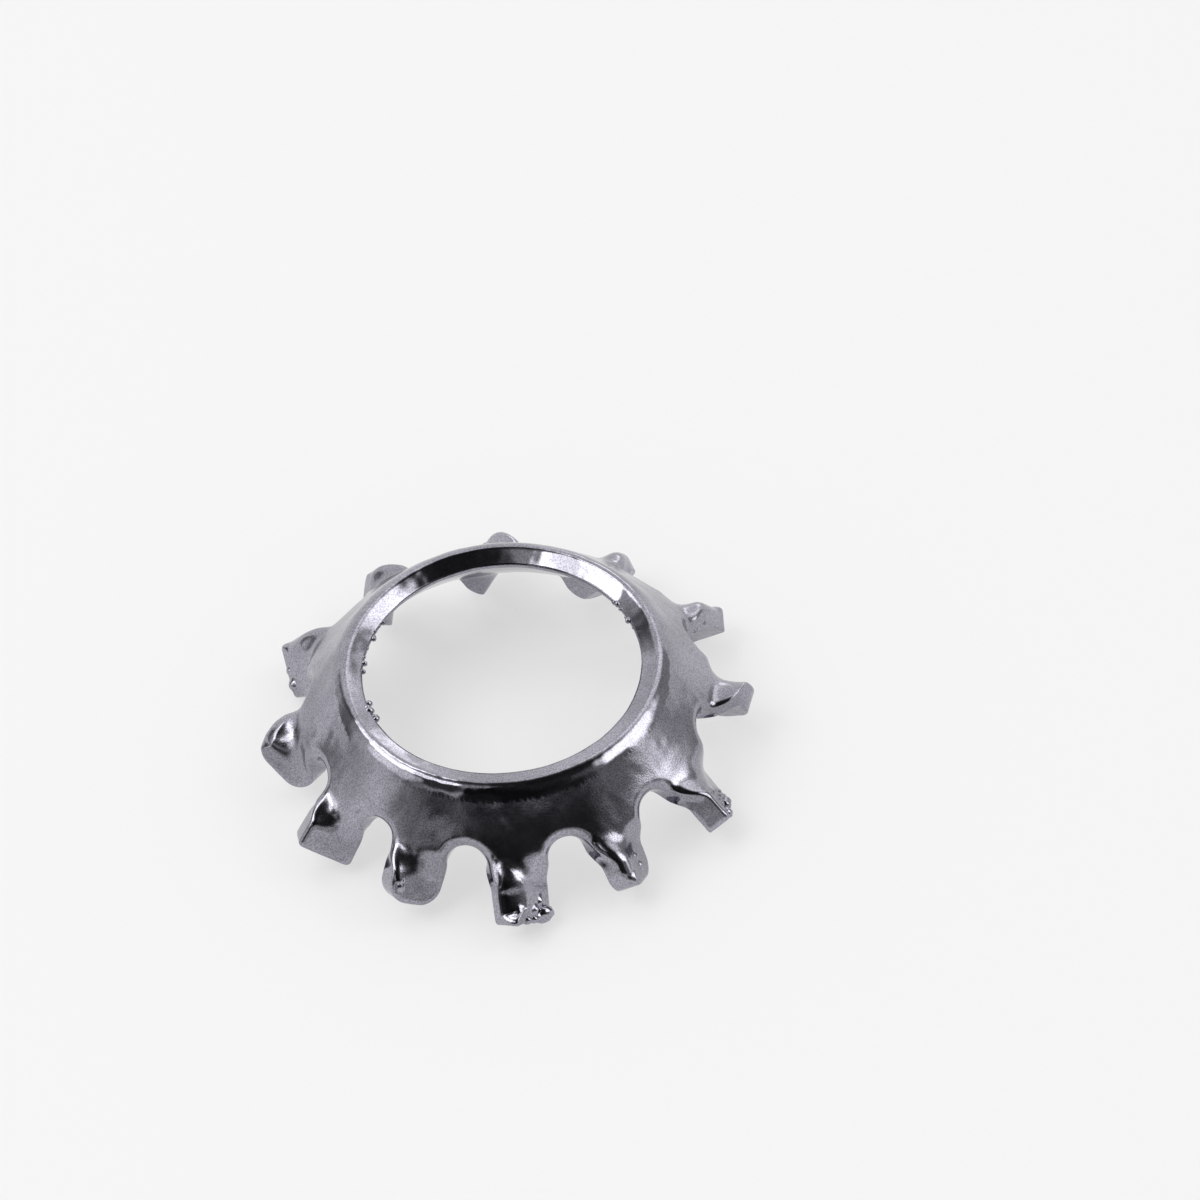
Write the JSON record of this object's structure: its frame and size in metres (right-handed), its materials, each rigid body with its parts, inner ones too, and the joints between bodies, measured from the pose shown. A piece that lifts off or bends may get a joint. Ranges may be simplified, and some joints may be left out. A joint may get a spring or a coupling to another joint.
{
  "type": "toothed lock washer",
  "caption": "Conical sheet-metal lock washer for a countersunk screw, its wide edge slotted into twisted teeth with square and round ends in turn.",
  "frame": {"origin": "on the washer's axis, in the plane that its lowest tooth corners stand on", "axes": "+Z along the axis from the toothed wide end to the hole edge; -Y towards the tooth at the front, which is square-ended"},
  "size_m": [0.0094, 0.0098, 0.0026],
  "materials": {
    "plated_steel": "bright plating, slightly grainy, thicker at the edges and in nodules at the tooth tips"
  },
  "bodies": {
    "root": {"washer": "plated_steel"}
  },
  "joints": []
}
